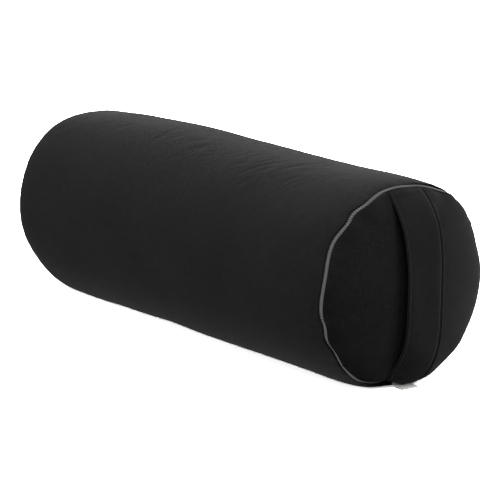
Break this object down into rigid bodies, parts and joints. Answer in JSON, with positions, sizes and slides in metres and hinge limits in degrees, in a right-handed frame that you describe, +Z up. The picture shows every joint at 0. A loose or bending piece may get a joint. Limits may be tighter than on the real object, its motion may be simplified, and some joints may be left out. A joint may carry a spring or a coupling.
{
  "type": "round yoga bolster",
  "caption": "Firm round cushion with domed ends, a carrying strap across one end and a curved zip that opens that end.",
  "frame": {"origin": "centre of the flat underside that rests on the floor, midway between the two end seams", "axes": "+X along the bolster's length towards the end with the handle and zip, +Z up"},
  "size_m": [0.6473, 0.23, 0.2208],
  "materials": {
    "cover_cloth": "black woven cotton canvas, matte",
    "strap_cloth": "black woven cotton canvas, folded, matte",
    "zip_tape": "black woven polyester tape",
    "zip_coil": "dark grey nylon monofilament",
    "thread": "black polyester sewing thread",
    "zip_metal": "die-cast zinc, lacquered black",
    "ribbon": "pale woven satin ribbon, bare",
    "liner_cloth": "unbleached cotton, matte",
    "foam": "firm polyurethane foam, as a soft solid",
    "batting": "polyester batting, as a soft solid"
  },
  "bodies": {
    "cover": {"cover_body_panel": "cover_cloth", "cover_back_end_panel": "cover_cloth", "front_end_panel_sewn_side": "cover_cloth", "zip_tape_body_side": "zip_tape", "zip_coil_body_side": "zip_coil", "zip_end_tack_upper": "thread", "zip_end_tack_lower": "thread", "liner_tube_panel": "liner_cloth", "liner_front_panel": "liner_cloth", "liner_back_panel": "liner_cloth", "foam_core": "foam", "batting_wrap": "batting", "front_batting_pad": "batting", "back_batting_pad": "batting"},
    "end_flap": {"front_end_panel": "cover_cloth", "zip_tape_end_side": "zip_tape", "zip_coil_end_side": "zip_coil", "sewn_tag": "ribbon"},
    "handle": {"handle_strap": "strap_cloth"},
    "zip_slider": {"zip_slider_body": "zip_metal"},
    "zip_pull": {"zip_pull_tab": "zip_metal"}
  },
  "joints": [
    {"name": "zip_travel", "type": "hinge", "parent": "cover", "child": "zip_slider", "pos_m": [0.291, 0, 0.109], "axis": [1, 0, 0], "range_deg": [0, 273]},
    {"name": "flap_open", "type": "hinge", "parent": "cover", "child": "end_flap", "pos_m": [0.291, 0.0847, 0.109], "axis": [0, 0, 1], "range_deg": [0, 70]},
    {"name": "handle_lift", "type": "slide", "parent": "end_flap", "child": "handle", "axis": [1, 0, 0], "range_m": [0, 0.012], "stiffness_N_per_m": 250},
    {"name": "pull_swing", "type": "hinge", "parent": "zip_slider", "child": "zip_pull", "pos_m": [0.291, 0.08109, 0.1843], "axis": [1, 0, 0], "range_deg": [0, 165]}
  ],
  "couplings": [
    {"joint": "flap_open", "follows": "zip_travel", "ratio": 0.2564}
  ]
}
